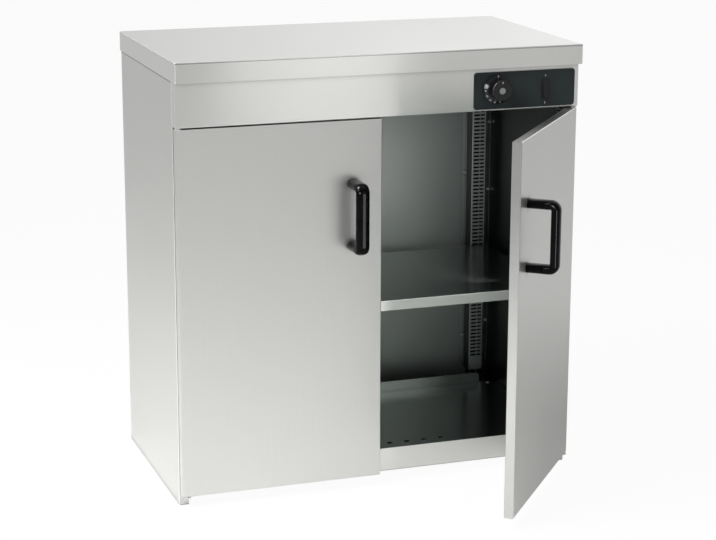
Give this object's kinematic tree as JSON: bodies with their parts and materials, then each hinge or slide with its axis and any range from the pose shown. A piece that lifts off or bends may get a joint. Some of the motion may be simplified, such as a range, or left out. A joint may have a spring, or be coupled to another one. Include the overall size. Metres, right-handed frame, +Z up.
{
  "type": "plate warmer cabinet",
  "caption": "Free-standing stainless plate warmer: a two-door cupboard with a flat worktop, slotted uprights, a shelf over a heated deck and a dial and rocker switch above the doors.",
  "frame": {"origin": "floor level, midway between the sides, on the back panel's outer face", "axes": "+X to the right as seen from the front, +Y back to the wall, +Z up"},
  "size_m": [0.8, 0.7381, 0.85],
  "materials": {
    "brushed_stainless": "fine vertical or lengthwise brushing, satin",
    "inner_stainless": "cold-rolled stainless, half bright",
    "plated_steel": "zinc-plated steel",
    "black_gloss_plastic": "glossy black moulded plastic",
    "panel_black": "satin black foil on a plate",
    "black_plastic": "black moulded plastic",
    "grey_plastic": "light grey moulded plastic",
    "white_nylon": "natural nylon",
    "black_rubber": "black rubber",
    "magnet_black": "plastic-cased magnet",
    "element_steel": "heat-tinted steel sheath",
    "fastener_steel": "bright steel"
  },
  "bodies": {
    "cabinet": {"back_panel": "brushed_stainless", "back_panel_rivets": "fastener_steel", "base_pan": "inner_stainless", "bottom_deck": "inner_stainless", "ceiling_grommet": "black_rubber", "ceiling_panel": "inner_stainless", "control_panel": "panel_black", "cord_gland": "black_plastic", "deck_rear_rail": "plated_steel", "deck_screws": "fastener_steel", "element_clips": "fastener_steel", "fascia": "brushed_stainless", "fascia_rivets": "fastener_steel", "front_left_upright": "inner_stainless", "front_right_upright": "inner_stainless", "front_sill": "inner_stainless", "front_stiffener": "plated_steel", "gland_nut": "black_plastic", "heating_element": "element_steel", "hinge_pins": "fastener_steel", "left_lower_hinge_bracket": "plated_steel", "left_side_panel": "brushed_stainless", "left_upper_hinge_bracket": "plated_steel", "middle_stiffener": "plated_steel", "rear_left_upright": "inner_stainless", "rear_right_upright": "inner_stainless", "rear_stiffener": "plated_steel", "right_lower_hinge_bracket": "plated_steel", "right_side_panel": "brushed_stainless", "right_upper_hinge_bracket": "plated_steel", "sensor_clip": "fastener_steel", "shelf": "inner_stainless", "shelf_clips": "plated_steel", "switch_housing": "black_plastic", "terminal_block": "white_nylon", "thermostat": "fastener_steel", "thermostat_capillary": "fastener_steel", "upright_nuts": "fastener_steel", "wiring_loom": "black_rubber", "worktop": "brushed_stainless", "worktop_screws": "fastener_steel"},
    "left_door": {"left_door_skin": "brushed_stainless", "left_door_liner": "inner_stainless", "left_door_magnet": "magnet_black", "left_door_handle": "black_gloss_plastic", "left_handle_backing": "plated_steel", "left_handle_screws": "fastener_steel", "left_door_bushes": "white_nylon"},
    "right_door": {"right_door_skin": "brushed_stainless", "right_door_liner": "inner_stainless", "right_door_magnet": "magnet_black", "right_door_handle": "black_gloss_plastic", "right_handle_backing": "plated_steel", "right_handle_screws": "fastener_steel", "right_door_bushes": "white_nylon"},
    "knob": {"thermostat_knob": "black_gloss_plastic", "knob_cap": "grey_plastic", "thermostat_spindle": "fastener_steel"},
    "rocker": {"switch_rocker": "black_plastic"}
  },
  "joints": [
    {"name": "left_door_hinge", "type": "hinge", "parent": "cabinet", "child": "left_door", "pos_m": [-0.3915, -0.422, 0.374], "axis": [0, 0, -1], "range_deg": [0, 110]},
    {"name": "right_door_hinge", "type": "hinge", "parent": "cabinet", "child": "right_door", "pos_m": [0.3915, -0.422, 0.374], "axis": [0, 0, 1], "range_deg": [-51, 59]},
    {"name": "thermostat_turn", "type": "hinge", "parent": "cabinet", "child": "knob", "pos_m": [0.229, -0.442, 0.77], "axis": [0, 1, 0], "range_deg": [0, 270]},
    {"name": "switch_tilt", "type": "hinge", "parent": "cabinet", "child": "rocker", "pos_m": [0.3287, -0.4295, 0.765], "axis": [1, 0, 0], "range_deg": [0, 14]}
  ]
}
